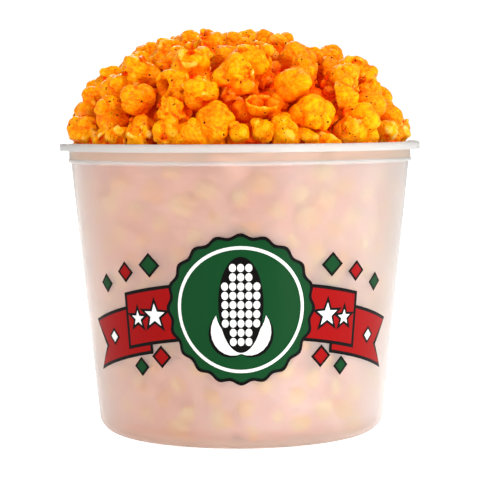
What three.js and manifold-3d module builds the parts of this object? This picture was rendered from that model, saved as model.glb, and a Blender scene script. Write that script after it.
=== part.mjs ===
// A round, tapered plastic tub of cheese popcorn, heaped high above its rim.
//
// Millimetres, +Z up. The origin is the centre of the tub's foot, on the surface that it stands on.
// The tub is one thin moulded shell: a foot with a raised panel, a rounded heel, a wall that leans
// outwards, a wider band under the rim, and a rim that folds over into a skirt.
// The popcorn is one solid: a core that fills the tub, with the popped flakes of the heap fused on.

import * as THREE from "three";
import { mergeVertices } from "three/addons/utils/BufferGeometryUtils.js";
import Module from "manifold-3d";

const wasm = await Module();
wasm.setup();

// ---- Driving dimensions --------------------------------------------------------------------------

const TUB_SIDES = 48; // flats round the tub
const CORE_SIDES = 24; // flats round the popcorn's core, half as many so that both line up
const CLEARANCE = 0.4; // air between the popcorn and the tub

const TUB_HEIGHT = 186;
const RIM_RADIUS = 116;
const WALL = 1.2;
const FOOT_RADIUS = 91.5; // where the leaning wall would meet the floor
const WALL_TOP_RADIUS = 109;
const HEEL_RADIUS = 11; // the rounding between the foot and the wall
const BAND_RADIUS = 110.2;
const BAND_HEIGHT = 7;
const RIM_HEIGHT = 4.8;
const RIM_THICKNESS = 1.4;
const RIM_EDGE = 0.8; // the bevel along the rim's two top edges
const PANEL_RADIUS = 70; // the raised panel under the foot
const PANEL_RISE = 1.5;

const HEAP_RADIUS = 111; // how far the flakes reach outwards
const HEAP_RISE = 72; // how far they reach above the rim
const HEAP_SQUARENESS = 0.9; // 1 gives the heap an elliptic outline, less gives it fuller shoulders
const HEAP_LEAN = 4; // how far towards -X the top of the heap sits
const FLAKE_COUNT = 86;
const FLAKE_RADIUS = { least: 11, most: 15.2 };
const FLAKE_DEPTH = 12; // from the heap's outline in to the middle of a flake
const DEPTH_NUDGE = 5; // how much deeper one flake may sit than another
const TURN_NUDGE = 0.16; // radians that a flake may be turned round the heap from its even place
const BALL_SHARE = 0.4; // of all flakes, those that popped into balls
const WINGED_SHARE = 0.46; // those with wings; the rest are curled
const CORE_DEPTH = 14.5; // from the heap's outline in to the core
const LEDGE_DEPTH = 7; // from the rim down to the core's shoulder
const HEAP_SEED = 31;

// The surface of a flake lies between its waist and its full radius: the waist is how far in it
// draws between two lobes, and a lobe fades out between these two cosines of the angle from it.
const BALL_WAIST = 0.16;
const WING_WAIST = 0.42;
const WING_REACH = 1.15; // wings reach further out than a ball of the same corn
const LOBE_FADE = { out: 0.45, full: 0.95 };
const CURL = { ring: 0.7, tube: 0.38 }; // radii of a curled flake, as shares of the flake's

// ---- Places worked out from them -----------------------------------------------------------------

const bandTop = TUB_HEIGHT - RIM_HEIGHT;
const bandFoot = bandTop - BAND_HEIGHT;
const wallLean = Math.atan((WALL_TOP_RADIUS - FOOT_RADIUS) / bandFoot);

// ---- Helpers -------------------------------------------------------------------------------------

/** The arc of the heel at this radius, from the foot to the wall, as [radius, height] points. */
function heelArc(radius, steps) {
  const middle = [
    FOOT_RADIUS + (HEEL_RADIUS * (Math.sin(wallLean) - 1)) / Math.cos(wallLean),
    HEEL_RADIUS,
  ];
  const points = [];
  for (let step = 0; step <= steps; step++) {
    const angle = -Math.PI / 2 + (step / steps) * (Math.PI / 2 - wallLean);
    points.push([
      middle[0] + radius * Math.cos(angle),
      middle[1] + radius * Math.sin(angle),
    ]);
  }
  return points;
}

/** A closed solid turned round +Z from [radius, height] points that start and end on the axis. */
function turned(profile, sides) {
  const points = profile.map(([radius, height]) => new THREE.Vector2(radius, height));
  return new THREE.LatheGeometry(points, sides).rotateX(Math.PI / 2);
}

/** A three.js geometry as a manifold-3d solid, which can be joined and cut. */
function solidFrom(geometry) {
  const bare = geometry.clone();
  bare.deleteAttribute("normal");
  bare.deleteAttribute("uv");
  const merged = mergeVertices(bare, 1e-4);
  const vertProperties = new Float32Array(merged.attributes.position.array);
  const triVerts = new Uint32Array(merged.index.array);
  return new wasm.Manifold(new wasm.Mesh({ numProp: 3, vertProperties, triVerts }));
}

/** A manifold-3d solid as a three.js geometry. */
function geometryFrom(solid) {
  const mesh = solid.getMesh();
  const geometry = new THREE.BufferGeometry();
  geometry.setAttribute("position", new THREE.BufferAttribute(mesh.vertProperties, 3));
  geometry.setIndex(new THREE.BufferAttribute(mesh.triVerts, 1));
  geometry.computeVertexNormals();
  return geometry;
}

/** The largest closed body of a solid: it drops loose scraps and fills hollows that joining sealed. */
function largestBody(solid) {
  return solid.decompose().reduce((best, body) => (body.volume() > best.volume() ? body : best));
}

/** A generator of even random numbers from 0 to 1 that gives the same row of them for a seed. */
function seededRandom(seed) {
  let state = seed;
  return () => {
    state = (state * 1664525 + 1013904223) % 2 ** 32;
    return state / 2 ** 32;
  };
}

// ---- Tub -----------------------------------------------------------------------------------------

function tubGeometry() {
  const innerTop = BAND_RADIUS - WALL;
  const outside = [
    [0, PANEL_RISE],
    [PANEL_RADIUS, PANEL_RISE],
    [PANEL_RADIUS + PANEL_RISE, 0],
    ...heelArc(HEEL_RADIUS, 5),
    [WALL_TOP_RADIUS, bandFoot],
    [BAND_RADIUS, bandFoot + WALL / 2],
  ];
  const rim = [
    [BAND_RADIUS, TUB_HEIGHT - RIM_THICKNESS],
    [RIM_RADIUS - RIM_THICKNESS, TUB_HEIGHT - RIM_THICKNESS],
    [RIM_RADIUS - RIM_THICKNESS, bandTop],
    [RIM_RADIUS, bandTop],
    [RIM_RADIUS, TUB_HEIGHT - RIM_EDGE],
    [RIM_RADIUS - RIM_EDGE, TUB_HEIGHT],
    [innerTop + RIM_EDGE, TUB_HEIGHT],
    [innerTop, TUB_HEIGHT - RIM_EDGE],
  ];
  const inside = [
    [innerTop, bandFoot + WALL],
    [WALL_TOP_RADIUS - WALL, bandFoot],
    ...heelArc(HEEL_RADIUS - WALL, 4).reverse(),
    [PANEL_RADIUS + PANEL_RISE, WALL],
    [PANEL_RADIUS, PANEL_RISE + WALL],
    [0, PANEL_RISE + WALL],
  ];
  return turned([...outside, ...rim, ...inside], TUB_SIDES);
}

// ---- Popcorn -------------------------------------------------------------------------------------

/** Half of the heap's outline, inset by depth: a squared ellipse, from its top to the rim. */
function heapOutline(depth, steps) {
  const points = [];
  for (let step = 0; step <= steps; step++) {
    const angle = (step / steps) * (Math.PI / 2);
    points.push([
      (HEAP_RADIUS - depth) * Math.sin(angle) ** HEAP_SQUARENESS,
      TUB_HEIGHT + (HEAP_RISE - depth) * Math.cos(angle) ** HEAP_SQUARENESS,
    ]);
  }
  return points;
}

function coreSolid() {
  const gap = WALL + CLEARANCE;
  const filling = [
    [0, PANEL_RISE + gap],
    [PANEL_RADIUS + PANEL_RISE, PANEL_RISE + gap],
    [PANEL_RADIUS + 2 * PANEL_RISE, gap],
    ...heelArc(HEEL_RADIUS - gap, 3),
    [WALL_TOP_RADIUS - gap, bandFoot],
    [WALL_TOP_RADIUS - gap, TUB_HEIGHT - LEDGE_DEPTH],
  ];
  return solidFrom(turned([...filling, ...heapOutline(CORE_DEPTH, 4).reverse()], CORE_SIDES));
}

/** What the flakes keep out of: the rim and band with their clearance, and all below the band. */
function tubSpace() {
  const reach = RIM_RADIUS + HEAP_RADIUS;
  const bore = BAND_RADIUS - WALL - CLEARANCE;
  const shelf = bandFoot + WALL + CLEARANCE;
  const block = [
    [0, 0],
    [reach, 0],
    [reach, TUB_HEIGHT + CLEARANCE],
    [bore, TUB_HEIGHT + CLEARANCE],
    [bore, shelf],
    [0, shelf],
  ];
  return solidFrom(turned(block, TUB_SIDES));
}

/**
 * Where each flake of the heap sits. The flakes share the heap's area evenly and turn by the golden
 * angle from one to the next, from the top down, and each is then nudged by the random numbers.
 */
function flakePlaces(random) {
  const outline = heapOutline(FLAKE_DEPTH, 90);
  const area = [0];
  for (let i = 1; i < outline.length; i++) {
    const [r0, z0] = outline[i - 1];
    const [r1, z1] = outline[i];
    area.push(area[i - 1] + (r0 + r1) * Math.hypot(r1 - r0, z1 - z0));
  }
  const goldenAngle = Math.PI * (3 - Math.sqrt(5));
  const places = [];
  for (let i = 0; i < FLAKE_COUNT; i++) {
    const share = ((i + 0.5) / FLAKE_COUNT) * area[area.length - 1];
    const after = area.findIndex((a) => a >= share);
    const part = (share - area[after - 1]) / (area[after] - area[after - 1]);
    const [r0, z0] = outline[after - 1];
    const [r1, z1] = outline[after];
    const turn = i * goldenAngle + (random() - 0.5) * TURN_NUDGE;
    const inset = (random() - 0.4) * DEPTH_NUDGE;
    const radius = r0 + part * (r1 - r0) - inset * (r0 / (HEAP_RADIUS - FLAKE_DEPTH));
    const height = z0 + part * (z1 - z0) - inset * ((z0 - TUB_HEIGHT) / (HEAP_RISE - FLAKE_DEPTH));
    const lean = (HEAP_LEAN * (height - TUB_HEIGHT)) / HEAP_RISE;
    places.push({
      middle: new THREE.Vector3(radius * Math.cos(turn) - lean, radius * Math.sin(turn), height),
      radius: FLAKE_RADIUS.least + random() * (FLAKE_RADIUS.most - FLAKE_RADIUS.least),
      kind: random(),
      spin: new THREE.Euler(...[0, 0, 0].map(() => random() * 2 * Math.PI)),
    });
  }
  return places;
}

/** A flake that popped outwards: a body that swells towards each of its lobes, given as ways. */
function lobedFlake(radius, lobes, waist) {
  const geometry = new THREE.IcosahedronGeometry(radius, 1);
  const positions = geometry.attributes.position;
  const point = new THREE.Vector3();
  const ways = lobes.map((lobe) => new THREE.Vector3(...lobe).normalize());
  for (let i = 0; i < positions.count; i++) {
    point.fromBufferAttribute(positions, i);
    const nearness = Math.max(...ways.map((way) => way.dot(point))) / radius;
    const swell = (nearness - LOBE_FADE.out) / (LOBE_FADE.full - LOBE_FADE.out);
    point.multiplyScalar(1 - waist * (1 - THREE.MathUtils.clamp(swell, 0, 1)));
    positions.setXYZ(i, point.x, point.y, point.z);
  }
  return solidFrom(geometry);
}

/** A flake that popped into a ball, with six low pillows. */
function ballFlake(radius) {
  const pillows = [[1, 0, 0.2], [-1, 0.3, 0], [0, 1, -0.2], [0.3, -1, 0], [0, 0.2, 1], [-0.2, 0, -1]];
  return lobedFlake(radius, pillows, BALL_WAIST);
}

/** A flake with four wings that meet in its middle. */
function wingedFlake(radius) {
  const wings = [[1, 0.1, 0.35], [-0.5, 0.9, 0.1], [-0.4, -0.8, 0.5], [0.1, 0, -1]];
  return lobedFlake(WING_REACH * radius, wings, WING_WAIST);
}

/** A flake that curled over on itself, with a hole through the curl. */
function curledFlake(radius) {
  return solidFrom(new THREE.TorusGeometry(CURL.ring * radius, CURL.tube * radius, 5, 7));
}

function popcornGeometry() {
  const flakes = flakePlaces(seededRandom(HEAP_SEED)).map(({ middle, radius, kind, spin }) => {
    const curled = kind >= BALL_SHARE + WINGED_SHARE;
    const shape = kind < BALL_SHARE ? ballFlake : curled ? curledFlake : wingedFlake;
    const place = new THREE.Matrix4().makeRotationFromEuler(spin).setPosition(middle);
    return shape(radius).transform(place.elements);
  });
  const heap = wasm.Manifold.union(flakes).subtract(tubSpace());
  return geometryFrom(largestBody(heap.add(coreSolid())));
}

// ---- The part ------------------------------------------------------------------------------------

/** One named piece with its own finish. */
function piece(name, geometry, finish) {
  const mesh = new THREE.Mesh(geometry, new THREE.MeshStandardMaterial(finish));
  mesh.name = name;
  return mesh;
}

const bucketOfPopcorn = new THREE.Group();
bucketOfPopcorn.add(
  piece("tub", tubGeometry(), {
    color: 0xe9dcd6,
    roughness: 0.35,
    metalness: 0,
    transparent: true,
    opacity: 0.6,
  }),
  piece("popcorn", popcornGeometry(), { color: 0xff9a12, roughness: 0.55, metalness: 0 }),
);

export default bucketOfPopcorn;
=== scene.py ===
# A frosted plastic bucket, heaped with cheese popcorn, on a plain pale floor in soft studio light.
# The frame is in metres, +Z up, with its origin at the centre of the bucket's foot. Sizes of the
# object are in millimetres, and MM turns them to metres.

import math

import bpy
from mathutils import Matrix, Vector


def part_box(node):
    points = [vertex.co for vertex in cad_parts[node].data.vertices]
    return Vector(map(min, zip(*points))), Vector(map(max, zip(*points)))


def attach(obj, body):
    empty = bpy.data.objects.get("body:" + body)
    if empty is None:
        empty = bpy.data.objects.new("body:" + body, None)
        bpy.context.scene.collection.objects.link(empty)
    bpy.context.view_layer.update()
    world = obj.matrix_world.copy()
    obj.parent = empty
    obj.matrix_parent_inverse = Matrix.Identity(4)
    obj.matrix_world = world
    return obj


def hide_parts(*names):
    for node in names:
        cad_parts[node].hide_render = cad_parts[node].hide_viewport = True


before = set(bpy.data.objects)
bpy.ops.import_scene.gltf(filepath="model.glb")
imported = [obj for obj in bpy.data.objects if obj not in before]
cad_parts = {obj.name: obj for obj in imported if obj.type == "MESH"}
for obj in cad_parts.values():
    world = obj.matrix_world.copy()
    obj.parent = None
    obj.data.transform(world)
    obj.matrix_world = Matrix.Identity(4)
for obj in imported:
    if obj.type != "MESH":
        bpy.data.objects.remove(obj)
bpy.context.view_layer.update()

# ---- Camera --------------------------------------------------------------------------------------
# A long lens, 1.18 m in front of the bucket and just above its rim, looks slightly down at it and
# is tipped by 0.4 degrees.

MM = 0.001
CAMERA_PLACE = Vector((-0.27, -1182, 202)) * MM
CAMERA_PITCH = math.radians(-3.867)
CAMERA_ROLL = math.radians(-0.38)
LENS_MM = 136.5
SENSOR_WIDTH_MM = 36

bpy.ops.object.select_all(action="DESELECT")
bpy.ops.object.camera_add(location=CAMERA_PLACE)
camera = bpy.context.object
camera.name = "camera"
camera.data.lens = LENS_MM
camera.data.sensor_width = SENSOR_WIDTH_MM
pitched = Matrix.Rotation(math.radians(90) + CAMERA_PITCH, 4, "X")
rolled = Matrix.Rotation(CAMERA_ROLL, 4, "Z")
camera.matrix_world = Matrix.Translation(CAMERA_PLACE) @ (pitched @ rolled)
bpy.context.scene.camera = camera
bpy.context.scene.view_settings.view_transform = "Standard"

# ---- Tub -----------------------------------------------------------------------------------------
# One injection-moulded shell with a wall 1.2 mm thick: a foot with a raised panel, a rounded heel,
# a leaning wall, a wider band under the rim, and a rim that folds over into a short skirt.
# Its half section is drawn with extrudes and spun round the axis.

RIM_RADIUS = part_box("tub")[1].x / MM
TUB_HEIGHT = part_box("tub")[1].z / MM
WALL = 1.2
FOOT_RADIUS = 91.5
WALL_TOP_RADIUS = 109
HEEL_RADIUS = 11
HEEL_STEPS = 14
BAND_RADIUS = 110.2
BAND_HEIGHT = 7
RIM_HEIGHT = 4.8
RIM_THICKNESS = 1.4
RIM_EDGE = 0.8
PANEL_RADIUS = 70
PANEL_RISE = 1.5
BEAD = 0.45
BEAD_HEIGHT = 1.7
TUB_STEPS = 180
ROUNDING = 0.3
ROUNDED_ABOVE = math.radians(28)
SMOOTH_BELOW = math.radians(35)

band_top = TUB_HEIGHT - RIM_HEIGHT
band_foot = band_top - BAND_HEIGHT
inner_top = BAND_RADIUS - WALL
wall_lean = math.atan((WALL_TOP_RADIUS - FOOT_RADIUS) / band_foot)


def heel_arc(radius, steps):
    """The arc of the heel at this radius, from the foot to the wall."""
    middle = FOOT_RADIUS + HEEL_RADIUS * (math.sin(wall_lean) - 1) / math.cos(wall_lean)
    points = []
    for step in range(steps + 1):
        angle = -math.pi / 2 + step / steps * (math.pi / 2 - wall_lean)
        points.append((middle + radius * math.cos(angle), HEEL_RADIUS + radius * math.sin(angle)))
    return points


def spun(name, half_section, steps):
    """A closed solid from a half section in mm that starts and ends on the axis."""
    start = (half_section[0][0] * MM, 0, half_section[0][1] * MM)
    bpy.ops.object.select_all(action="DESELECT")
    bpy.ops.mesh.primitive_plane_add(size=MM, location=start)
    solid = bpy.context.object
    solid.name = name
    bpy.ops.object.transform_apply(location=True)
    bpy.ops.object.mode_set(mode="EDIT")
    bpy.ops.mesh.merge(type="CENTER")
    for (r0, z0), (r1, z1) in zip(half_section, half_section[1:]):
        step = ((r1 - r0) * MM, 0, (z1 - z0) * MM)
        bpy.ops.mesh.extrude_region_move(TRANSFORM_OT_translate={"value": step})
    bpy.ops.mesh.select_all(action="SELECT")
    bpy.ops.mesh.spin(steps=steps, angle=2 * math.pi, center=(0, 0, 0), axis=(0, 0, 1))
    bpy.ops.mesh.select_all(action="SELECT")
    bpy.ops.mesh.remove_doubles(threshold=0.01 * MM)
    bpy.ops.mesh.normals_make_consistent(inside=False)
    bpy.ops.object.mode_set(mode="OBJECT")
    return solid


def modified(solid, kind, **settings):
    """Puts a modifier on the active object and applies it."""
    modifier = solid.modifiers.new(kind.lower(), kind)
    for setting, value in settings.items():
        setattr(modifier, setting, value)
    bpy.ops.object.modifier_apply(modifier=modifier.name)


tub = spun(
    "tub_shell",
    [
        (0, PANEL_RISE),
        (PANEL_RADIUS, PANEL_RISE),
        (PANEL_RADIUS + PANEL_RISE, 0),
        *heel_arc(HEEL_RADIUS, HEEL_STEPS),
        (WALL_TOP_RADIUS, band_foot - BEAD_HEIGHT / 2),
        (BAND_RADIUS + BEAD, band_foot - BEAD),
        (BAND_RADIUS + BEAD, band_foot + BEAD_HEIGHT - BEAD),
        (BAND_RADIUS, band_foot + BEAD_HEIGHT),
        (BAND_RADIUS, TUB_HEIGHT - RIM_THICKNESS),
        (RIM_RADIUS - RIM_THICKNESS, TUB_HEIGHT - RIM_THICKNESS),
        (RIM_RADIUS - RIM_THICKNESS, band_top),
        (RIM_RADIUS, band_top),
        (RIM_RADIUS, TUB_HEIGHT - RIM_EDGE),
        (RIM_RADIUS - RIM_EDGE, TUB_HEIGHT),
        (inner_top + RIM_EDGE, TUB_HEIGHT),
        (inner_top, TUB_HEIGHT - RIM_EDGE),
        (inner_top, band_foot + WALL),
        (WALL_TOP_RADIUS - WALL, band_foot),
        *reversed(heel_arc(HEEL_RADIUS - WALL, HEEL_STEPS)),
        (PANEL_RADIUS + PANEL_RISE, WALL),
        (PANEL_RADIUS, PANEL_RISE + WALL),
        (0, PANEL_RISE + WALL),
    ],
    TUB_STEPS,
)
modified(
    tub, "BEVEL", width=ROUNDING * MM, segments=2, limit_method="ANGLE", angle_limit=ROUNDED_ABOVE
)
bpy.ops.object.shade_smooth_by_angle(angle=SMOOTH_BELOW)


def linear(hex_colour):
    """An sRGB hex colour as linear RGBA."""
    parts = [int(hex_colour[i : i + 2], 16) / 255 for i in (1, 3, 5)]
    return [p / 12.92 if p <= 0.04045 else ((p + 0.055) / 1.055) ** 2.4 for p in parts] + [1]


def add_node(tree, kind, settings=(), links=(), values=(), stops=(), **named_values):
    """A node with its settings, links as (input, node, output), the values of its numbered and
    named inputs, and a ramp's stops as (place, linear colour)."""
    node = tree.nodes.new("ShaderNode" + kind)
    for name, value in dict(settings).items():
        setattr(node, name, value)
    for entry, value in dict(values).items():
        node.inputs[entry].default_value = value
    for name, value in named_values.items():
        node.inputs[name.replace("_", " ")].default_value = value
    for number, (place, colour) in enumerate(stops):
        elements = node.color_ramp.elements
        stop = elements[number] if number < 2 else elements.new(place)
        stop.position = place
        stop.color = colour
    for entry, source, output in links:
        tree.links.new(source.outputs[output], node.inputs[entry])
    return node


def new_material(name):
    """An empty node material, as (material, its node tree)."""
    material = bpy.data.materials.new(name)
    material.use_nodes = True
    material.node_tree.nodes.clear()
    return material, material.node_tree


def finish_material(tree, shader):
    """Joins a shader to the surface output."""
    add_node(tree, "OutputMaterial", links=[("Surface", shader, 0)])


MIX_COLOURS = {"data_type": "RGBA"}
MULTIPLY_COLOURS = {"data_type": "RGBA", "blend_type": "MULTIPLY"}
PLASTIC_IOR = 1.49
MILKY = 0.9  # share of the light that a single wall lets through
TOOL_GRAINS_PER_METRE = 900.0  # a matt tool's grain, drawn as coarse as it needs to show, 1.1 mm
# height up the heel over which the painted shade at the foot fades out
HEEL_SHADE_HEIGHT = 1.3 * HEEL_RADIUS


def natural_polypropylene():
    """Natural polypropylene, moulded against a fine matt tool: milky, so it shows what lies behind
    it only as soft blotches of colour, with a satin sheen on its outer skin. Its heel is painted
    darker and peachier, painted shade at the foot that fades out up the heel."""
    material, tree = new_material("natural_polypropylene")
    where = add_node(tree, "TexCoord")
    grain = add_node(
        tree, "TexNoise", links=[("Vector", where, "Object")], Scale=TOOL_GRAINS_PER_METRE, Detail=2.0
    )
    skin = add_node(tree, "Bump", links=[("Height", grain, 0)], Strength=0.06, Distance=0.1 * MM)
    place = add_node(tree, "SeparateXYZ", links=[("Vector", where, "Object")])
    above_foot = add_node(tree, "MapRange", links=[("Value", place, "Z")], From_Max=HEEL_SHADE_HEIGHT * MM)
    # painted shade: the plastic is darker and peachier at the foot, fading to its clean colour above
    heel_shade_to_clear = ((0, linear("#e8c2a8")), (1, linear("#f7efe9")))
    painted_heel_shade = add_node(tree, "ValToRGB", links=[("Fac", above_foot, 0)], stops=heel_shade_to_clear)
    plastic = add_node(
        tree, "BsdfPrincipled", links=[("Base Color", painted_heel_shade, 0), ("Normal", skin, 0)], Roughness=0.36,
        IOR=PLASTIC_IOR, Transmission_Weight=MILKY, Coat_Weight=0.5, Coat_Roughness=0.03,
    )
    finish_material(tree, plastic)
    return material


def thick_polypropylene(part, colour):
    """The same plastic where it is thick, so that it looks whiter and lets less light through."""
    material, tree = new_material(f"natural_polypropylene_thick_{part}")
    plastic = add_node(
        tree, "BsdfPrincipled", Base_Color=linear(colour), Roughness=0.35, IOR=PLASTIC_IOR,
        Transmission_Weight=0.62,
    )
    finish_material(tree, plastic)
    return material


SMEARS_PER_METRE = 40.0  # smears of 25 mm
PALE_HEIGHTS = (100, 20)  # where the painted paling starts, and where it is palest
PALE_PLACES = (-60, 20)  # the same from left to right


def dusted_and_shaded_polypropylene():
    """The inner face, on which cheese powder in oil has rubbed off and tints it in smears. Its colour
    is also painted light: peachier on the left, in shade, greyer towards the right and palest low on
    the right, where more light falls."""
    material, tree = new_material("natural_polypropylene_dusted_with_cheese")
    where = add_node(tree, "TexCoord")
    place = add_node(tree, "SeparateXYZ", links=[("Vector", where, "Object")])
    left_to_right = add_node(
        tree, "MapRange", links=[("Value", place, "X")], From_Min=-FOOT_RADIUS * MM,
        From_Max=FOOT_RADIUS * MM,
    )
    # painted light: peachier on the left, in shade, and greyer towards the right, where more light falls
    peach_to_grey = ((0, linear("#f8d6b8")), (1, linear("#dcd4ce")))
    painted_side_light = add_node(tree, "ValToRGB", links=[("Fac", left_to_right, 0)], stops=peach_to_grey)
    smears = add_node(
        tree, "TexNoise", links=[("Vector", where, "Object")], Scale=SMEARS_PER_METRE, Detail=3.0
    )
    rubbed_off = add_node(tree, "MapRange", links=[("Value", smears, 0)], From_Min=0.35, From_Max=0.65)
    smeared = add_node(
        tree, "Mix", MULTIPLY_COLOURS, [("Factor", rubbed_off, 0), ("A", painted_side_light, 0)], B=linear("#f8ede4")
    )
    low = add_node(
        tree, "MapRange", links=[("Value", place, "Z")], From_Min=PALE_HEIGHTS[0] * MM,
        From_Max=PALE_HEIGHTS[1] * MM,
    )
    off_left = add_node(
        tree, "MapRange", links=[("Value", place, "X")], From_Min=PALE_PLACES[0] * MM,
        From_Max=PALE_PLACES[1] * MM,
    )
    # painted light: palest low on the right, where most light falls
    pale_share = add_node(tree, "Math", {"operation": "MULTIPLY"}, [(0, low, 0), (1, off_left, 0)])
    dust_and_painted_light = add_node(
        tree, "Mix", MIX_COLOURS, [("Factor", pale_share, 0), ("A", smeared, "Result")], B=linear("#ebe7e6")
    )
    plastic = add_node(
        tree, "BsdfPrincipled", links=[("Base Color", dust_and_painted_light, "Result")], Roughness=0.36,
        IOR=PLASTIC_IOR, Transmission_Weight=MILKY,
    )
    finish_material(tree, plastic)
    return material


# The rim is folded double. The band is thinner, and its peach colour is painted light: the glow of the
# popcorn behind it.
THICK_RIM, THICK_BAND, INNER_FACE = 1, 2, 3  # places among the tub's materials
tub.data.materials.append(natural_polypropylene())
tub.data.materials.append(thick_polypropylene("rim", "#e6e6e4"))
# the band's peach base colour is painted light, the popcorn's glow through it
tub.data.materials.append(thick_polypropylene("band", "#ecdac6"))
tub.data.materials.append(dusted_and_shaded_polypropylene())
for face in tub.data.polygons:
    across = Vector((face.center.x, face.center.y, 0))
    height = face.center.z / MM
    on_floor = height < HEEL_RADIUS and face.normal.z > 0.5
    faces_in = face.normal.dot(across.normalized()) < -0.5
    if (on_floor or faces_in) and across.length < BAND_RADIUS * MM:
        face.material_index = INNER_FACE
    elif height > band_top - 0.5 or abs(height - band_foot) < BEAD_HEIGHT:
        face.material_index = THICK_RIM
    elif height > band_foot:
        face.material_index = THICK_BAND
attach(tub, "root")
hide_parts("tub")

# ---- Print on the wall ---------------------------------------------------------------------------
# Four glossy inks, screen-printed on the front of the wall: a round green badge with an ear of corn
# on a red ribbon, with white stars, black outlines and small diamonds. Each ink is a thin film, and
# its layers count up from the wall.

PRINT_HEIGHT = 87
PRINT_RADIUS = 100  # of the wall, about where the print is
INK_STEP = 0.06  # from one layer of ink to the next
INK_THICKNESS = 0.05
FACET = 2.5  # widest flat stretch of a film round the wall
OUTLINE = 2.1
BADGE_RADIUS = 43
BADGE_STEPS = 160
BADGE_RIPPLE = 0.025
BADGE_SCALLOPS = 20
BADGE_RING = (38.5, 36.5)  # outer and inner radius
RING_STEPS = 72
RIBBON_WIDTH = 31
RIBBON_HALF = 76
RIBBON_DROP = 9  # at its ends, below its middle
TAIL_START = 60
TAIL_END = 112
TAIL_WIDTH = 28
TAIL_DROP = 7  # below the ribbon
TAIL_NOTCH = 12
STARS = ((55, 7.5), (68, 5))  # along the ribbon, and radius
STAR_WAIST = 0.42
TAIL_DIAMOND_PLACE = 92
TAIL_DIAMOND_RADIUS = 3.5
TAIL_DIAMOND_OUTLINE = 2
LEAF_STEPS = 10
LEAF_SWEEP = 105  # degrees, from below the ear
LEAF_REACH = 15.5
LEAF_TALLNESS = 1.15
LEAF_WIDTH = 4.6
LEAF_FOOT = 0.06  # share of the leaf that is cut off at its foot
LEAF_DROP = 8
EAR_STEPS = 64
EAR_HALF_HEIGHT = 27
EAR_SLIMNESS = 0.46
EAR_RISE = 3
KERNEL_STEP = (4.7, 5.6)  # across and up
KERNEL_STEPS = 12
KERNEL_RADIUS = 2.5
KERNEL_SLIMNESS = 0.84
KERNEL_MARGIN = 0.08  # of the ear's edge that holds no kernel's middle
DIAMONDS = (  # along the wall, height, radius, ink
    (57, 113, 5.5, "green"), (76, 108, 4.5, "red"), (95, 100, 4, "green"),
    (52, 57, 5, "red"), (68, 50, 4, "green"),
)

inks = {"black": [], "red": [], "green": [], "white": []}


def ink_film(ink, outline, layer):
    """A film of ink: its outline as (arc, height) in mm, cut in facets, thickened and wrapped on."""
    bpy.ops.object.select_all(action="DESELECT")
    bpy.ops.mesh.primitive_circle_add(vertices=len(outline), fill_type="NGON")
    film = bpy.context.object
    for vertex, (along, height) in zip(film.data.vertices, outline):
        vertex.co = (along, height, 0)
    bpy.ops.object.mode_set(mode="EDIT")
    bpy.ops.mesh.select_all(action="SELECT")
    bpy.ops.mesh.quads_convert_to_tris()
    cut = math.ceil(min(along for along, height in outline) / FACET) * FACET
    while cut < max(along for along, height in outline):
        bpy.ops.mesh.select_all(action="SELECT")
        bpy.ops.mesh.bisect(plane_co=(cut, 0, 0), plane_no=(1, 0, 0))
        cut += FACET
    bpy.ops.object.mode_set(mode="OBJECT")
    modified(film, "SOLIDIFY", thickness=INK_THICKNESS, offset=0)
    for vertex in film.data.vertices:
        along, height, lift = vertex.co
        wall_there = FOOT_RADIUS + (WALL_TOP_RADIUS - FOOT_RADIUS) * height / band_foot
        radius = wall_there + (layer + 1) * INK_STEP + lift
        turn = along / PRINT_RADIUS
        vertex.co = Vector((radius * math.sin(turn), -radius * math.cos(turn), height)) * MM
    inks[ink].append(film)


def outlined(ink, shape, layer, outline=OUTLINE):
    """A shape, which is a function of how much it is grown, over a black one that is its outline."""
    ink_film("black", shape(outline), layer)
    ink_film(ink, shape(0), layer + 1)


def ring_of(middle, radius, count, ripple=0, waves=0, squash=1):
    """An outline round a middle from its top, that may ripple in and out."""
    points = []
    for step in range(count):
        angle = math.radians(90) + 2 * math.pi * step / count
        reach = radius * (1 + ripple * math.cos(waves * (angle - math.radians(90))))
        across = squash * reach * math.cos(angle)
        points.append((middle[0] + across, middle[1] + reach * math.sin(angle)))
    return points


def star(middle, radius):
    """The outline of a star with five points."""
    points = []
    for step in range(10):
        angle = math.pi / 2 + math.pi * step / 5
        reach = radius if step % 2 == 0 else radius * STAR_WAIST
        points.append((middle[0] + reach * math.cos(angle), middle[1] + reach * math.sin(angle)))
    return points


def ribbon(start, end, width, drop, notch):
    """A stretch of ribbon that sags away from the badge, with a swallow-tail at its end."""
    top, bottom = [], []
    steps = max(2, round(abs(end - start) / FACET))
    for step in range(steps + 1):
        along = start + (end - start) * step / steps
        middle = PRINT_HEIGHT - drop - RIBBON_DROP * (along / RIBBON_HALF) ** 2
        top.append((along, middle + width / 2))
        bottom.append((along, middle - width / 2))
    if notch:
        along, high = top[-1]
        top.append((along - notch, high - width / 2))
    return top + bottom[::-1]


def leaf(side, grow):
    """A husk leaf that curves up beside the ear, outlined by grow more."""
    outer, inner = [], []
    for step in range(LEAF_STEPS + 1):
        part = step / LEAF_STEPS
        angle = math.radians(-90 + LEAF_SWEEP * part)
        rest = min(1, part * (1 - LEAF_FOOT) + LEAF_FOOT)
        bulge = (LEAF_WIDTH + grow) * math.sin(math.pi * rest)
        up = PRINT_HEIGHT - LEAF_DROP + LEAF_TALLNESS * LEAF_REACH * math.sin(angle)
        middle = (side * LEAF_REACH * math.cos(angle), up)
        outward = (side * math.cos(angle), math.sin(angle))
        outer.append((middle[0] + outward[0] * bulge, middle[1] + outward[1] * bulge))
        inner.append((middle[0] - outward[0] * bulge, middle[1] - outward[1] * bulge))
    outline = outer + inner[::-1]
    return outline if side > 0 else outline[::-1]


def on_ribbon(along):
    """The height of the ribbon's middle line at a place along it."""
    return PRINT_HEIGHT - RIBBON_DROP * (along / RIBBON_HALF) ** 2


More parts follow.
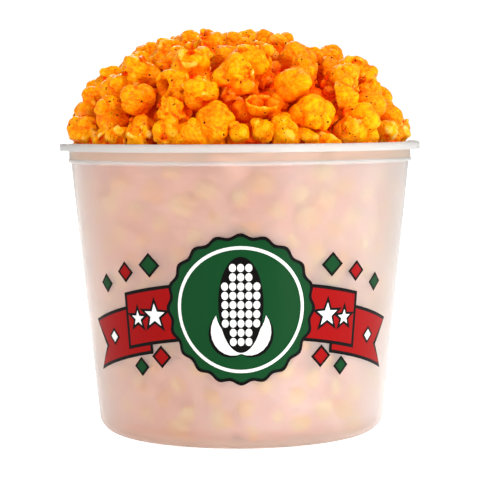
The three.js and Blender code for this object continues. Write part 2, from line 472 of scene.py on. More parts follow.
# The ribbon's two tails, the ribbon over them, and the stars and diamonds on it.
for side in (-1, 1):
    tail = (side * TAIL_START, side * TAIL_END)
    grown = (side * (TAIL_START - OUTLINE), side * (TAIL_END + OUTLINE))
    ink_film("black", ribbon(*grown, TAIL_WIDTH + 2 * OUTLINE, TAIL_DROP, side * (TAIL_NOTCH - 1)), 0)
    ink_film("red", ribbon(*tail, TAIL_WIDTH, TAIL_DROP, side * TAIL_NOTCH), 1)
outlined(
    "red",
    lambda grow: ribbon(-RIBBON_HALF - grow, RIBBON_HALF + grow, RIBBON_WIDTH + 2 * grow, 0, 0),
    2,
)
for side in (-1, 1):
    for along, radius in STARS:
        middle = (side * along, on_ribbon(along))
        outlined("white", lambda grow: star(middle, radius + 2 * grow), 4)
    middle = (side * TAIL_DIAMOND_PLACE, on_ribbon(TAIL_DIAMOND_PLACE) - TAIL_DROP)
    outlined(
        "white", lambda grow: ring_of(middle, TAIL_DIAMOND_RADIUS + grow, 4), 4, TAIL_DIAMOND_OUTLINE
    )

# The badge, with its scalloped edge and white ring.
badge = (0, PRINT_HEIGHT)
outlined(
    "green",
    lambda grow: ring_of(badge, BADGE_RADIUS + grow, BADGE_STEPS, BADGE_RIPPLE, BADGE_SCALLOPS),
    4,
)
ink_film("white", ring_of(badge, BADGE_RING[0], RING_STEPS), 6)
ink_film("green", ring_of(badge, BADGE_RING[1], RING_STEPS), 7)

# The ear of corn, with its husk leaves and five columns of kernels.
for side in (-1, 1):
    outlined("white", lambda grow: leaf(side, grow), 8)
ear = (0, PRINT_HEIGHT + EAR_RISE)
ink_film("black", ring_of(ear, EAR_HALF_HEIGHT + OUTLINE, EAR_STEPS, squash=EAR_SLIMNESS), 10)
for row in range(-4, 5):
    for column in range(-2, 3):
        across, up = KERNEL_STEP[0] * column, KERNEL_STEP[1] * row
        inside = 1 - (across / (EAR_SLIMNESS * EAR_HALF_HEIGHT)) ** 2 - (up / EAR_HALF_HEIGHT) ** 2
        if inside > KERNEL_MARGIN:
            middle = (across, ear[1] + up)
            kernel = ring_of(middle, KERNEL_RADIUS, KERNEL_STEPS, squash=KERNEL_SLIMNESS)
            ink_film("white", kernel, 11)

# Small diamonds above and below the ribbon.
for side in (-1, 1):
    for along, height, radius, ink in DIAMONDS:
        outlined(ink, lambda grow: ring_of((side * along, height), radius + grow, 4), 0)


def joined(name, solids):
    """One object of several."""
    bpy.ops.object.select_all(action="DESELECT")
    for solid in solids:
        solid.select_set(True)
    bpy.context.view_layer.objects.active = solids[0]
    bpy.ops.object.join()
    solids[0].name = name
    return solids[0]


INK_COLOURS = {"black": "#040303", "red": "#8c0202", "green": "#073c1b", "white": "#dcdad8"}
INK_MOTTLES_PER_METRE = 60.0  # mottles of 17 mm


def screen_ink(ink):
    """Glossy screen ink, in pine green, signal red, black or white, laid on a little unevenly."""
    material, tree = new_material(f"{ink}_screen_ink")
    colour = linear(INK_COLOURS[ink])
    thin = [0.92 * value for value in colour[:3]] + [1]
    where = add_node(tree, "TexCoord")
    mottle = add_node(
        tree, "TexNoise", links=[("Vector", where, "Object")], Scale=INK_MOTTLES_PER_METRE, Detail=3.0
    )
    cover = add_node(tree, "ValToRGB", links=[("Fac", mottle, 0)], stops=((0, thin), (1, colour)))
    lacquer = add_node(
        tree, "BsdfPrincipled", links=[("Base Color", cover, 0)], Roughness=0.35, Specular_IOR_Level=0.06
    )
    finish_material(tree, lacquer)
    return material


for ink, films in inks.items():
    print_piece = joined(f"print_{ink}", films)
    bpy.ops.object.mode_set(mode="EDIT")
    bpy.ops.mesh.select_all(action="SELECT")
    bpy.ops.mesh.normals_make_consistent(inside=False)
    bpy.ops.object.mode_set(mode="OBJECT")
    print_piece.data.materials.append(screen_ink(ink))
    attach(print_piece, "root")

# ---- Popcorn flakes ------------------------------------------------------------------------------
# Popped corn coated in orange cheese powder and oil. Each kind of flake is modelled a few times,
# from balls that are joined, remeshed and swelled into pillows, and then copied all over the heap.
# Sizes within a flake are shares of its radius.

FLAKE_SIZE = 12.0  # radius of a modelled flake; each copy is scaled from it
FLAKE_TRIANGLES = 4800
FLAKE_VOXEL = 0.7
FULL_TURN = 6.28  # radians
BALL_LUMPS = (2.5, 4.5, 3.5, 5.5)
BALL_PILLOWS = (2.2, 4.6, 3.0, 4.0)
BALL_DIMPLES = (0.6, 1.1, 0.8, 1.2)
WINGS = ((1, 0.1, 0.35), (-0.5, 0.9, 0.1), (-0.4, -0.8, 0.5), (0.1, 0, -1))
TORN_SKINS = ((0.4, 0.75, 0.5), (0.45, -0.7, -0.1), (-0.8, 0, -0.6))
WING_SKIN = 1.7
BURST_SKIN = 2.2


def even_random(seed):
    """A generator of even random numbers from 0 to 1, the same row of them for a seed."""
    state = seed
    while True:
        state = (state * 1664525 + 1013904223) % 2**32
        yield state / 2**32


def swelling(name, kind, size, **settings):
    """A texture whose pattern has this size in mm."""
    texture = bpy.data.textures.new(name, kind)
    texture.noise_scale = size * MM
    for setting, value in settings.items():
        setattr(texture, setting, value)
    return texture


lumps = swelling("lumps", "CLOUDS", 11.0, noise_depth=1)
pillows = swelling("pillows", "VORONOI", 11.0, distance_metric="DISTANCE_SQUARED")
small_pillows = swelling("small_pillows", "VORONOI", 4.0, distance_metric="DISTANCE_SQUARED")


def swelled(solid, texture, strength, mid_level):
    """Pushes the active object's skin out and in by a texture, by a strength in mm."""
    modified(
        solid, "DISPLACE", texture=texture, texture_coords="LOCAL", strength=strength * MM,
        mid_level=mid_level,
    )


def lobe(middle, radius, squash=(1, 1, 1), turn=(0, 0, 0)):
    """A ball at a place in a flake, in mm, that may be squashed and turned."""
    bpy.ops.object.select_all(action="DESELECT")
    bpy.ops.mesh.primitive_ico_sphere_add(subdivisions=3, radius=radius * MM)
    ball = bpy.context.object
    ball.scale = squash
    ball.rotation_euler = turn
    ball.location = Vector(middle) * MM
    bpy.ops.object.transform_apply(location=True, rotation=True, scale=True)
    return ball


def popped(name, lobes, seed, lump, pillow, dimple, reach):
    """A flake: its lobes joined, swelled with lumps and pillows, and brought to this reach in mm."""
    flake = joined(name, lobes)
    shift = Vector([0.3 * math.sin(seed * (axis + 1.7)) for axis in range(3)])
    flake.data.transform(Matrix.Translation(shift))
    modified(flake, "REMESH", mode="VOXEL", voxel_size=FLAKE_VOXEL * MM)
    swelled(flake, lumps, lump, 0.5)
    swelled(flake, pillows, -pillow, 0.3)
    swelled(flake, small_pillows, -dimple, 0.3)
    modified(flake, "SMOOTH", factor=0.15, iterations=1)
    modified(flake, "DECIMATE", ratio=FLAKE_TRIANGLES / 2 / len(flake.data.polygons))
    flake.data.transform(Matrix.Translation(-shift))
    furthest = max(vertex.co.length for vertex in flake.data.vertices)
    flake.data.transform(Matrix.Scale(reach * MM / furthest, 4))
    bpy.ops.object.shade_smooth()
    return flake


def ball_flake(number):
    """A flake that popped into a ball, with a smaller one grown out of its side."""
    side = Vector((math.cos(number), math.sin(number), 0.4 * number - 0.4)) * 0.55 * FLAKE_SIZE
    lobes = [lobe((0, 0, 0), 0.86 * FLAKE_SIZE, (1, 0.92, 0.97)), lobe(side, 0.5 * FLAKE_SIZE)]
    return popped(
        f"ball_{number}", lobes, 11 + number, BALL_LUMPS[number], BALL_PILLOWS[number],
        BALL_DIMPLES[number], FLAKE_SIZE * 1.02,
    )


def torn_cup(radius, thickness, way, cut, squash):
    """A thin skin that tore open: a hollow ball of a radius in mm, cut square to a way at a share of
    its radius, and squashed."""
    bpy.ops.object.select_all(action="DESELECT")
    bpy.ops.mesh.primitive_uv_sphere_add(segments=32, ring_count=16, radius=radius * MM)
    skin = bpy.context.object
    bpy.ops.object.mode_set(mode="EDIT")
    bpy.ops.mesh.select_all(action="SELECT")
    edge = Vector(way).normalized() * cut * radius * MM
    bpy.ops.mesh.bisect(plane_co=edge, plane_no=way, clear_outer=True)
    bpy.ops.object.mode_set(mode="OBJECT")
    modified(skin, "SOLIDIFY", thickness=thickness * MM, offset=0)
    skin.scale = squash
    bpy.ops.object.transform_apply(location=False, rotation=False, scale=True)
    return skin


def winged_flake(number):
    """A flake with four wings that meet in its middle, and small lobes and torn skins between."""
    draw = even_random(100 + number)
    lobes = [lobe((0, 0, 0), 0.7 * FLAKE_SIZE)]
    for wing in WINGS:
        way = Vector(wing).normalized()
        size = FLAKE_SIZE * (0.44 + 0.34 * next(draw))
        turn = [FULL_TURN * next(draw) for _ in range(3)]
        squash = (1, 0.65 + 0.35 * next(draw), 0.9)
        lobes.append(lobe(way * (1.08 * FLAKE_SIZE - size), size, squash, turn))
    for _ in range(2):
        way = Vector([next(draw) - 0.5 for _ in range(3)]).normalized()
        lobes.append(lobe(way * 0.78 * FLAKE_SIZE, FLAKE_SIZE * (0.2 + 0.12 * next(draw))))
    for torn_skin in TORN_SKINS[: 2 + number % 2]:
        way = Vector(torn_skin).normalized()
        cup = torn_cup(0.46 * FLAKE_SIZE, WING_SKIN, way, 0.1 + 0.2 * next(draw), (1, 1, 1))
        cup.location = way * 0.68 * FLAKE_SIZE * MM
        bpy.ops.object.transform_apply(location=True)
        lobes.append(cup)
    return popped(f"winged_{number}", lobes, 31 + number, 5, 4.2, 1.1, 1.14 * FLAKE_SIZE)


def curled_flake(number):
    """A flake that curled over on itself, with a hole through the curl and lobes round its foot."""
    draw = even_random(200 + number)
    bpy.ops.object.select_all(action="DESELECT")
    bpy.ops.mesh.primitive_torus_add(
        major_radius=0.6 * FLAKE_SIZE * MM, minor_radius=(0.3 + 0.05 * number) * FLAKE_SIZE * MM,
        major_segments=32, minor_segments=14,
    )
    curl = bpy.context.object
    curl.scale = (1, 0.86, 1.9)
    bpy.ops.object.transform_apply(location=False, rotation=False, scale=True)
    lobes = [curl]
    for _ in range(4):
        turn = 3.4 + 2.6 * next(draw)
        way = Vector((math.cos(turn), math.sin(turn), 0.6 * next(draw) - 0.3))
        lobes.append(lobe(way * 0.72 * FLAKE_SIZE, FLAKE_SIZE * (0.34 + 0.16 * next(draw))))
    return popped(f"curled_{number}", lobes, 51 + number, 3.5, 2.6, 0.9, 1.08 * FLAKE_SIZE)


def burst_flake(number):
    """A flake whose thin skin burst open like a cup, on a foot of lobes."""
    draw = even_random(300 + number)
    way = (0.35, 0.2 * number, 1)
    lobes = [torn_cup(0.82 * FLAKE_SIZE, BURST_SKIN, way, 0.18, (1.2, 0.85, 1.1))]
    for step in range(4):
        turn = 1.7 * step + 0.6 * next(draw)
        way = Vector((0.6 * math.cos(turn), 0.55 * math.sin(turn), 0.3 * next(draw) - 0.65))
        lobes.append(lobe(way * FLAKE_SIZE, FLAKE_SIZE * (0.3 + 0.18 * next(draw))))
    return popped(f"burst_{number}", lobes, 71 + number, 4.5, 2.6, 0.9, 1.12 * FLAKE_SIZE)


balls = [ball_flake(number) for number in range(4)]
wings = [winged_flake(number) for number in range(5)]
curls = [burst_flake(0), curled_flake(0), burst_flake(1), burst_flake(2), curled_flake(1)]

# ---- Popcorn heap --------------------------------------------------------------------------------
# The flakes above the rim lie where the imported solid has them: sharing the heap's area evenly from
# the top down, each turned by the golden angle from the last and nudged a little. Smaller flakes
# fill the hollows between them, and lie all round along the rim.

HEAP_RADIUS = 111
HEAP_RISE = 72
HEAP_SQUARENESS = 0.9
HEAP_LEAN = 4
FLAKE_COUNT = 86
FLAKE_RADIUS = (11, 15.2)
FLAKE_DEPTH = 12
DEPTH_NUDGE = 5
TURN_NUDGE = 0.16
BALL_SHARE = 0.4
WINGED_SHARE = 0.46
HEAP_SEED = 31
GOLDEN_ANGLE = math.pi * (3 - math.sqrt(5))
SMALL_FLAKE_TRIANGLES = 1000
FILLER_COUNT = 130
FILLER_RADIUS = (7, 11)
FILLER_DEPTH = 21
RIM_FLAKE_COUNT = 42
RIM_FLAKE_RADIUS = (7.5, 11)
BORE_CLEARANCE = 0.5
BORE_SOFTNESS = 3.0
PRESSED_TO = 0.3  # above the rim, and from there flakes come free
FREE_OVER = 2.5


def heap_outline(depth, steps):
    """Half of the heap's outline, inset by depth, from its top to the rim."""
    points = []
    for step in range(steps + 1):
        angle = step / steps * math.pi / 2
        across = (HEAP_RADIUS - depth) * math.sin(angle) ** HEAP_SQUARENESS
        up = (HEAP_RISE - depth) * math.cos(angle) ** HEAP_SQUARENESS
        points.append((across, TUB_HEIGHT + up))
    return points


def heap_places(count, depth, sizes, draw):
    """Where the flakes of one layer of the heap sit, as (middle, radius, kind, turning), in mm."""
    outline = heap_outline(depth, 90)
    area = [0]
    for (r0, z0), (r1, z1) in zip(outline, outline[1:]):
        area.append(area[-1] + (r0 + r1) * math.hypot(r1 - r0, z1 - z0))
    for number in range(count):
        share = (number + 0.5) / count * area[-1]
        after = next(n for n, a in enumerate(area) if a >= share)
        part = (share - area[after - 1]) / (area[after] - area[after - 1])
        (r0, z0), (r1, z1) = outline[after - 1 : after + 1]
        turn = number * GOLDEN_ANGLE + (next(draw) - 0.5) * TURN_NUDGE
        inset = (next(draw) - 0.4) * DEPTH_NUDGE
        radius = r0 + part * (r1 - r0) - inset * r0 / (HEAP_RADIUS - depth)
        height = z0 + part * (z1 - z0) - inset * (z0 - TUB_HEIGHT) / (HEAP_RISE - depth)
        lean = HEAP_LEAN * (height - TUB_HEIGHT) / HEAP_RISE
        middle = Vector((radius * math.cos(turn) - lean, radius * math.sin(turn), height))
        size = sizes[0] + next(draw) * (sizes[1] - sizes[0])
        kind = next(draw)
        spins = [next(draw) * 2 * math.pi for _ in range(3)]
        turning = Matrix.Identity(4)
        for spin, axis in zip(spins, "XYZ"):
            turning = turning @ Matrix.Rotation(spin, 4, axis)
        yield middle, size, kind, turning


def copy_of(flake, middle, size, turning, tone):
    """A copy of a modelled flake at its place, which keeps in attributes each point's own place in
    the flake, in flake radii, and the shade of the flake's coating."""
    copy = flake.copy()
    copy.data = flake.data.copy()
    bpy.context.scene.collection.objects.link(copy)
    count = len(copy.data.vertices)
    points = [0.0] * 3 * count
    copy.data.vertices.foreach_get("co", points)
    own_place = copy.data.attributes.new("own_place", "FLOAT_VECTOR", "POINT")
    own_place.data.foreach_set("vector", [value / FLAKE_SIZE / MM for value in points])
    copy.data.attributes.new("tone", "FLOAT", "POINT").data.foreach_set("value", [tone] * count)
    copy.data.transform(
        Matrix.Translation(middle * MM) @ turning @ Matrix.Scale(size / FLAKE_SIZE, 4)
    )
    return copy


def keep_in_bore(solid):
    """Presses what would cut into the band or rim back inside them, as the wall does to a real flake."""
    bore = inner_top - BORE_CLEARANCE
    soft = BORE_SOFTNESS
    for vertex in solid.data.vertices:
        radius = math.hypot(vertex.co.x, vertex.co.y) / MM
        free = min(1, max(0, (vertex.co.z / MM - TUB_HEIGHT - PRESSED_TO) / FREE_OVER))
        if radius > bore - soft and free < 1:
            pressed = bore - soft * math.exp(-(radius - bore + soft) / soft)
            pressed += (radius - pressed) * free
            vertex.co.x *= pressed / radius
            vertex.co.y *= pressed / radius


def heap_piece(name, copies, coat):
    """One piece of many flakes, as a part of the popcorn."""
    piece = joined(name, copies)
    keep_in_bore(piece)
    piece.data.materials.clear()
    piece.data.materials.append(coat)
    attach(piece, "root")
    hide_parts("popcorn")


# Patterns on a flake are in flake radii, so they grow with it: a scale of 7 is 1.7 mm on the
# modelled flake.
POWDER_SCALE = 7.0
BUBBLE_SCALE = 7.0
SPECK_SCALE = 2.8
SPECK_RADIUS = 0.13
SHADE_TO_HIGHLIGHT_STOPS = (  # how far the skin bulges, from crease to ridge, and the colour there: red painted shade in the creases, pale cream painted highlight on the ridges
    (0.44, linear("#fa4600")), (0.50, linear("#ff8c00")),
    (0.55, linear("#ffb200")), (0.6, linear("#ffdc7c")),
)
PAINTED_SHADE_DEPTHS = (4, 20)  # below the heap's outline: where the painted shade starts, and where it is full


def wrinkled(tree, own):
    """Fine wrinkles that run from the crown of each flake, as (their noise, the folds in it)."""
    across = add_node(tree, "VectorMath", {"operation": "MULTIPLY"}, [(0, own, "Vector")], {1: (1, 1, 0)})
    outward = add_node(tree, "VectorMath", {"operation": "NORMALIZE"}, [(0, across, "Vector")])
    down = add_node(
        tree, "VectorMath", {"operation": "MULTIPLY"}, [(0, own, "Vector")], {1: (0.15, 0.15, 0.45)}
    )
    along = add_node(
        tree, "VectorMath", {"operation": "ADD"}, [(0, outward, "Vector"), (1, down, "Vector")]
    )
    wrinkles = add_node(
        tree, "TexNoise", links=[("Vector", along, "Vector")], Scale=3.4, Detail=3.0, Distortion=0.5
    )
    middle_out = add_node(tree, "Math", {"operation": "SUBTRACT"}, [(0, wrinkles, 0)], {1: 0.5})
    either_side = add_node(tree, "Math", {"operation": "ABSOLUTE"}, [(0, middle_out, 0)])
    fold = add_node(tree, "MapRange", links=[("Value", either_side, 0)], From_Max=0.09)
    return wrinkles, fold


def painted_depth_shade(tree):
    """Painted shade deep in the heap: how deep a point is buried, from its depth in mm below the heap's
    outline.
    """
    where = add_node(tree, "TexCoord")
    from_middle = add_node(
        tree, "VectorMath", {"operation": "SUBTRACT"}, [(0, where, "Object")],
        {1: (0, 0, TUB_HEIGHT * MM)},
    )
    reach = add_node(tree, "VectorMath", {"operation": "LENGTH"}, [(0, from_middle, "Vector")])
    in_heap_radii = add_node(
        tree, "VectorMath", {"operation": "MULTIPLY"}, [(0, from_middle, "Vector")],
        {1: (1 / HEAP_RADIUS, 1 / HEAP_RADIUS, 1 / HEAP_RISE)},
    )
    share = add_node(tree, "VectorMath", {"operation": "LENGTH"}, [(0, in_heap_radii, "Vector")])
    outline_reach = add_node(
        tree, "Math", {"operation": "DIVIDE"}, [(0, reach, "Value"), (1, share, "Value")]
    )
    reach_in_mm = add_node(tree, "Math", {"operation": "DIVIDE"}, [(0, reach, "Value")], {1: MM})
    depth = add_node(
        tree, "Math", {"operation": "SUBTRACT"}, [(0, outline_reach, 0), (1, reach_in_mm, 0)]
    )
    return add_node(
        tree, "MapRange", links=[("Value", depth, 0)], From_Min=PAINTED_SHADE_DEPTHS[0],
        From_Max=PAINTED_SHADE_DEPTHS[1], To_Max=0.9,
    )


def uneven_skin(tree, own, powder, fold):
    """The relief of the skin: hollows between its bubbles, powder on them, and creases."""
    bubbles = add_node(
        tree, "TexVoronoi", {"feature": "F1"}, [("Vector", own, "Vector")], Scale=BUBBLE_SCALE
    )
    hollow = add_node(
        tree, "Bump", {"invert": True}, [("Height", bubbles, "Distance")], Strength=0.4,
        Distance=0.8 * MM,
    )
    grainy = add_node(
        tree, "Bump", links=[("Height", powder, 0), ("Normal", hollow, 0)], Strength=0.4,
        Distance=0.5 * MM,
    )
    return add_node(
        tree, "Bump", links=[("Height", fold, 0), ("Normal", grainy, 0)], Strength=0.7,
        Distance=0.55 * MM,
    )


def hull_specks(tree, own, wrinkles):
    """Ragged specks of toasted hull: 1 in a speck, and 0 round it."""
    ragged = add_node(
        tree, "VectorMath", {"operation": "MULTIPLY_ADD"},
        [(0, wrinkles, "Color"), (2, own, "Vector")], {1: (0.25, 0.25, 0.25)},
    )
    specks = add_node(
        tree, "TexVoronoi", {"feature": "F1"}, [("Vector", ragged, "Vector")], Scale=SPECK_SCALE
    )
    return add_node(
        tree, "Math", {"operation": "LESS_THAN"}, [(0, specks, "Distance")], {1: SPECK_RADIUS}
    )


def cheese_coat():
    """Cheese popcorn: starchy foam under a coat of cheddar powder in oil. It is bright orange, with
    painted highlights of pale cream on the ridges and painted shade, redder, in the creases, along
    the folds and deep in the heap, with fine wrinkles, a faint oily gloss and specks of toasted hull."""
    material, tree = new_material("cheese_coated_popcorn")
    own = add_node(tree, "Attribute", {"attribute_name": "own_place"})
    tone = add_node(tree, "Attribute", {"attribute_name": "tone"})
    powder = add_node(tree, "TexNoise", links=[("Vector", own, "Vector")], Scale=POWDER_SCALE, Detail=4.0)
    wrinkles, fold = wrinkled(tree, own)
    geometry = add_node(tree, "NewGeometry")
    # painted shade and highlight: redder where the skin bends in, pale cream on the bulging ridges
    coat = add_node(tree, "ValToRGB", links=[("Fac", geometry, "Pointiness")], stops=SHADE_TO_HIGHLIGHT_STOPS)
    # painted shade: the coat is darker along the folds of the wrinkles
    fold_shade = add_node(tree, "MapRange", links=[("Value", fold, 0)], To_Min=0.35, To_Max=0)
    patchy = add_node(
        tree, "MapRange", links=[("Value", powder, 0)], From_Min=0.42, From_Max=0.72, To_Max=0.6
    )
    colour, output = coat, 0
    # the first and fourth tints are painted shade, in the folds and deep in the heap; the others are the
    # flake's own tone, powder patches and hull specks
    for mixing, share, share_output, tint in (
        (MULTIPLY_COLOURS, fold_shade, 0, "#fcc060"),
        (MULTIPLY_COLOURS, tone, "Fac", "#ffd880"),
        (MIX_COLOURS, patchy, 0, "#ffbc0c"),
        (MULTIPLY_COLOURS, painted_depth_shade(tree), 0, "#ff8c30"),
        (MIX_COLOURS, hull_specks(tree, own, wrinkles), 0, "#5a2004"),
    ):
        links = [("Factor", share, share_output), ("A", colour, output)]
        colour, output = add_node(tree, "Mix", mixing, links, B=linear(tint)), "Result"
    skin = uneven_skin(tree, own, powder, fold)
    corn = add_node(
        tree, "BsdfPrincipled", links=[("Base Color", colour, output), ("Normal", skin, 0)],
        Roughness=0.2, IOR=1.45, Specular_IOR_Level=0.06,
    )
    finish_material(tree, corn)
    return material


draw = even_random(HEAP_SEED)
heaps = {"popcorn_balls": [], "popcorn_wings": [], "popcorn_curls": []}
for number, (middle, size, kind, turning) in enumerate(
    heap_places(FLAKE_COUNT, FLAKE_DEPTH, FLAKE_RADIUS, draw)
):
    if kind < BALL_SHARE:
        heap, flakes = "popcorn_balls", balls
    elif kind < BALL_SHARE + WINGED_SHARE:
        heap, flakes = "popcorn_wings", wings
    else:
        heap, flakes = "popcorn_curls", curls
    shade = (number * 0.37) % 1
    heaps[heap].append(copy_of(flakes[number % len(flakes)], middle, size, turning, shade))

small_flakes = []
for flake in wings + balls + curls:
    small = flake.copy()
    small.data = flake.data.copy()
    bpy.context.scene.collection.objects.link(small)
    bpy.context.view_layer.objects.active = small
    modified(small, "DECIMATE", ratio=SMALL_FLAKE_TRIANGLES / FLAKE_TRIANGLES)
    small_flakes.append(small)
draw = even_random(5)
places = list(heap_places(FILLER_COUNT, FILLER_DEPTH, FILLER_RADIUS, draw))
for number in range(RIM_FLAKE_COUNT):
    turn = 2 * math.pi * (number + 0.6 * next(draw)) / RIM_FLAKE_COUNT
    size = RIM_FLAKE_RADIUS[0] + (RIM_FLAKE_RADIUS[1] - RIM_FLAKE_RADIUS[0]) * next(draw)
    radius = HEAP_RADIUS + 1 - size - 3 * next(draw)
    height = TUB_HEIGHT + 1 + 7 * next(draw)
    middle = Vector((radius * math.cos(turn), radius * math.sin(turn), height))
    turning = Matrix.Rotation(FULL_TURN * next(draw), 4, (next(draw), next(draw), 1))
    places.append((middle, size, 0, turning))
fillers = []
for number, (middle, size, kind, turning) in enumerate(places):
    shade = (number * 0.53) % 1
    fillers.append(copy_of(small_flakes[number % len(small_flakes)], middle, size, turning, shade))

cheese_corn = cheese_coat()
for name, copies in heaps.items():
    heap_piece(name, copies, cheese_corn)
heap_piece("popcorn_small_flakes", fillers, cheese_corn)

# ---- Popcorn in the tub --------------------------------------------------------------------------
# Under the heap the flakes press against the wall, where they show as warm blotches. Behind them a
# lumpy core stands for the rest of the filling.

WALL_FLAKE_COUNT = 300
WALL_FLAKE_RADIUS = (6.5, 10)
WALL_FLAKE_GAP = 0.3
WALL_FLAKE_FOOT = 8  # lowest middle, above the floor
WALL_FLAKE_HEAD = 16  # highest middle, below the rim
HEIGHT_NUDGE = 4
CORE_DEPTH = 24
CORE_GAP = 6.5
HEEL_GAP = 4
CORE_LUMP = 3.5
CORE_VOXEL = 3
CORE_STEPS = 90
BLOTCHES_PER_METRE = 60.0  # rubbed patches of 17 mm
CREASES_PER_METRE = 220.0  # the finest unevenness of the core that shows, 4.5 mm
DRIFTS_PER_METRE = 50.0  # drifts of the painted glow of 20 mm


def wall_radius(height):
    """The radius of the wall's inner face at a height, in mm."""
    if height > band_foot:
        return inner_top
    return FOOT_RADIUS + (WALL_TOP_RADIUS - FOOT_RADIUS) * height / band_foot - WALL


def wall_lit_coat():
    """The coat of flakes that lie against the wall, painted paler and brighter: painted light for the
    light that reaches them through the wall.
    """
    material, tree = new_material("cheese_popcorn_painted_lit_at_wall")
    where = add_node(tree, "TexCoord")
    patches = add_node(
        tree, "TexNoise", links=[("Vector", where, "Object")], Scale=BLOTCHES_PER_METRE, Detail=2.0
    )
    # painted light: a paler, brighter copy of the coat, in noise patches
    orange_to_pale = ((0.4, linear("#ffc05a")), (0.62, linear("#ffe8a0")))
    lit_patches = add_node(tree, "ValToRGB", links=[("Fac", patches, 0)], stops=orange_to_pale)
    pale = add_node(tree, "BsdfPrincipled", links=[("Base Color", lit_patches, 0)], Roughness=0.6, IOR=1.45)
    finish_material(tree, pale)
    return material


def shaded_coat():
    """The coat deep between the flakes of the heap, painted darker and redder: painted shade."""
    material, tree = new_material("cheese_popcorn_deep_in_the_heap")
    where = add_node(tree, "TexCoord")
    uneven = add_node(
        tree, "TexNoise", links=[("Vector", where, "Object")], Scale=CREASES_PER_METRE, Detail=4.0
    )
    # painted shade: a darker, redder copy of the coat
    red_to_orange = ((0.4, linear("#f04000")), (0.62, linear("#ff6c00")))
    shaded = add_node(tree, "ValToRGB", links=[("Fac", uneven, 0)], stops=red_to_orange)
    rough_skin = add_node(tree, "Bump", links=[("Height", uneven, 0)], Strength=1.0, Distance=2 * MM)
    painted_shade_corn = add_node(
        tree, "BsdfPrincipled", links=[("Base Color", shaded, 0), ("Normal", rough_skin, 0)],
        Roughness=0.8, Specular_IOR_Level=0.05,
    )
    finish_material(tree, painted_shade_corn)
    return material


def painted_glow_coat():
    """The filling between the flakes at the wall, painted a pale peach: painted light for the light
    that the milky wall scatters into the gaps."""
    material, tree = new_material("cheese_popcorn_behind_air_gaps")
    where = add_node(tree, "TexCoord")
    drift = add_node(
        tree, "TexNoise", links=[("Vector", where, "Object")], Scale=DRIFTS_PER_METRE, Detail=2.0
    )
    # painted light: a pale peach that stands in for the light in the gaps
    peach = ((0.36, linear("#f2b09e")), (0.64, linear("#facec2")))
    painted_glow = add_node(tree, "ValToRGB", links=[("Fac", drift, 0)], stops=peach)
    soft = add_node(tree, "BsdfPrincipled", links=[("Base Color", painted_glow, 0)], Roughness=0.9)
    finish_material(tree, soft)
    return material


rough_flakes = []
for number in range(4):
    flake = lobe((0, 0, 0), FLAKE_SIZE, (1, 0.85 + 0.05 * number, 0.9))
    shift = Vector((0.2 * number, 0.1, 0.3))
    flake.data.transform(Matrix.Translation(shift))
    swelled(flake, lumps, 3, 0.5)
    swelled(flake, pillows, -4, 0.3)
    flake.data.transform(Matrix.Translation(-shift))
    modified(flake, "DECIMATE", ratio=0.35)
    bpy.ops.object.shade_smooth()
    rough_flakes.append(flake)

draw = even_random(77)
inside = []
for number in range(WALL_FLAKE_COUNT):
    share = (number + 0.5) / WALL_FLAKE_COUNT
    height = WALL_FLAKE_FOOT + share * (TUB_HEIGHT - (WALL_FLAKE_FOOT + WALL_FLAKE_HEAD))
    height += HEIGHT_NUDGE * (next(draw) - 0.5)
    size = WALL_FLAKE_RADIUS[0] + next(draw) * (WALL_FLAKE_RADIUS[1] - WALL_FLAKE_RADIUS[0])
    radius = wall_radius(height) - WALL_FLAKE_GAP - size - 2.5 * next(draw) ** 2
    heel_lift = max(0, size + 3 - height)
    turn = number * GOLDEN_ANGLE + 0.06 * (next(draw) - 0.5)
    middle = Vector((radius * math.cos(turn), radius * math.sin(turn), height + heel_lift))
    rolled_over = Matrix.Rotation(FULL_TURN * next(draw), 4, "X")
    turning = rolled_over @ Matrix.Rotation(FULL_TURN * next(draw), 4, "Z")
    inside.append(copy_of(rough_flakes[number % 4], middle, size * 0.95, turning, next(draw)))
heap_piece("popcorn_at_wall", inside, wall_lit_coat())

core = spun(
    "popcorn_core",
    [
        (0, HEEL_GAP + WALL),
        *heel_arc(HEEL_RADIUS - WALL - HEEL_GAP, 4),
        (wall_radius(3 * HEEL_RADIUS) - HEEL_GAP, 3 * HEEL_RADIUS),
        (wall_radius(band_foot) - CORE_GAP, band_foot),
        (inner_top - CORE_GAP, band_top + 1),
        *reversed(heap_outline(CORE_DEPTH, 12)),
    ],
    CORE_STEPS,
)
modified(core, "REMESH", mode="VOXEL", voxel_size=CORE_VOXEL * MM)
deep_flakes = swelling("deep_flakes", "VORONOI", 17.0, distance_metric="DISTANCE_SQUARED")
swelled(core, deep_flakes, -3 * CORE_LUMP, 0.25)
bpy.ops.object.shade_smooth()
core.data.materials.clear()
core.data.materials.append(shaded_coat())
core.data.materials.append(painted_glow_coat())
# faces towards the wall take the painted glow, the rest the painted shade of the deep heap
for face in core.data.polygons:
    outward = Vector((face.center.x, face.center.y, 0)).normalized()
    faces_wall = face.center.z < band_foot * MM or face.normal.dot(outward) > 0.2
    if face.center.z < band_top * MM and faces_wall:
        face.material_index = 1
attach(core, "root")
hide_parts("popcorn")
for flake in balls + wings + curls + small_flakes + rough_flakes:
    bpy.data.objects.remove(flake)

# ---- Floor and light -----------------------------------------------------------------------------
# A white table top that runs out of sight, an even white surround, and soft boxes all round: a
# small bright one from high on the right, large panels, and low ones that light the wall's foot.

SEEN_FLOOR = 0.9
LIT_FLOOR = 0.48
SEEN_SURROUND = 1.05
LIT_SURROUND = 0.41


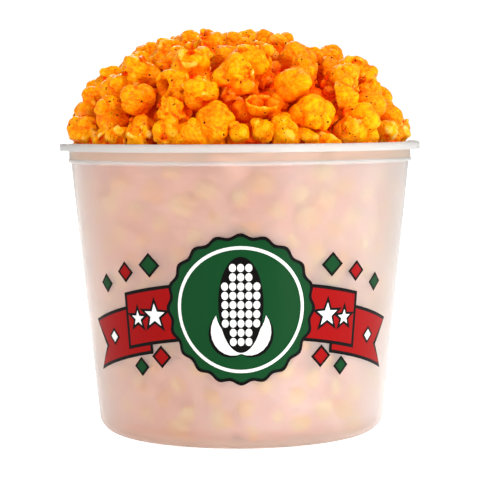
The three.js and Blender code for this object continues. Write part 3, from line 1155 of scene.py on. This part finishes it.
def lit_white_board():
    """Matt white board that glows evenly, so that it shows as plain white round the bucket."""
    material, tree = new_material("lit_white_board")
    ray = add_node(tree, "LightPath")
    lit = add_node(
        tree, "MapRange", links=[("Value", ray, "Is Camera Ray")], To_Min=LIT_FLOOR, To_Max=SEEN_FLOOR
    )
    paint = add_node(
        tree, "BsdfPrincipled", links=[("Emission Strength", lit, 0)], Base_Color=linear("#f4f3f2"),
        Roughness=0.8, Emission_Color=linear("#ffffff"),
    )
    finish_material(tree, paint)
    return material


bpy.ops.object.select_all(action="DESELECT")
bpy.ops.mesh.primitive_plane_add(size=20, location=(0, 0, 0))
floor = bpy.context.object
floor.name = "floor"
floor.data.materials.append(lit_white_board())

surround = bpy.data.worlds.new("surround")
surround.use_nodes = True
backdrop = surround.node_tree.nodes["Background"]
backdrop.inputs["Color"].default_value = (1, 1, 1, 1)
ray = add_node(surround.node_tree, "LightPath")
seen = add_node(
    surround.node_tree, "MapRange", links=[("Value", ray, "Is Camera Ray")], To_Min=LIT_SURROUND,
    To_Max=SEEN_SURROUND,
)
surround.node_tree.links.new(seen.outputs[0], backdrop.inputs["Strength"])
bpy.context.scene.world = surround


def soft_box(name, place, aim, size, watts):
    """A soft box, of a width and height in metres, at a place, that shines at a point."""
    bpy.ops.object.select_all(action="DESELECT")
    bpy.ops.object.light_add(type="AREA", location=place)
    light = bpy.context.object
    light.name = name
    light.data.shape = "RECTANGLE"
    light.data.size, light.data.size_y = size
    light.data.energy = watts
    light.visible_camera = False
    light.rotation_euler = (Vector(aim) - Vector(place)).to_track_quat("-Z", "Y").to_euler()


soft_box("key_light", (0.6, -0.6, 1.05), (0, 0, 0.28), (0.22, 0.22), 9.4)
soft_box("right_panel", (0.85, -0.25, 0.52), (0, -0.05, 0.3), (0.95, 0.6), 1.3)
soft_box("left_panel", (-0.75, -0.55, 0.7), (0, 0, 0.2), (0.6, 0.6), 2.3)
soft_box("front_panel", (0.1, -1.5, 0.6), (0, 0, 0.2), (1.4, 0.8), 4.3)
soft_box("back_panel", (-0.2, 1.4, 0.8), (0, 0, 0.15), (0.5, 0.8), 8)
soft_box("low_right_panel", (0.336, -0.12, 0.06), (0.075, 0.027, 0.06), (0.5, 0.12), 0.26)
soft_box("low_right_strip", (0.206, -0.345, 0.11), (0, -0.1, 0.11), (0.012, 0.22), 0.2)
soft_box("low_left_panel", (-0.294, -0.238, 0.11), (-0.1, -0.01, 0.11), (0.416, 0.22), 0.22)
soft_box("low_front_board", (0.1, -0.17, 0.003), (0.1, -0.17, 1), (0.2, 0.12), 0.07)
soft_box("low_back_panel", (-0.03, 0.6, 0.2), (0, 0, 0.1), (0.3, 0.36), 0.8)
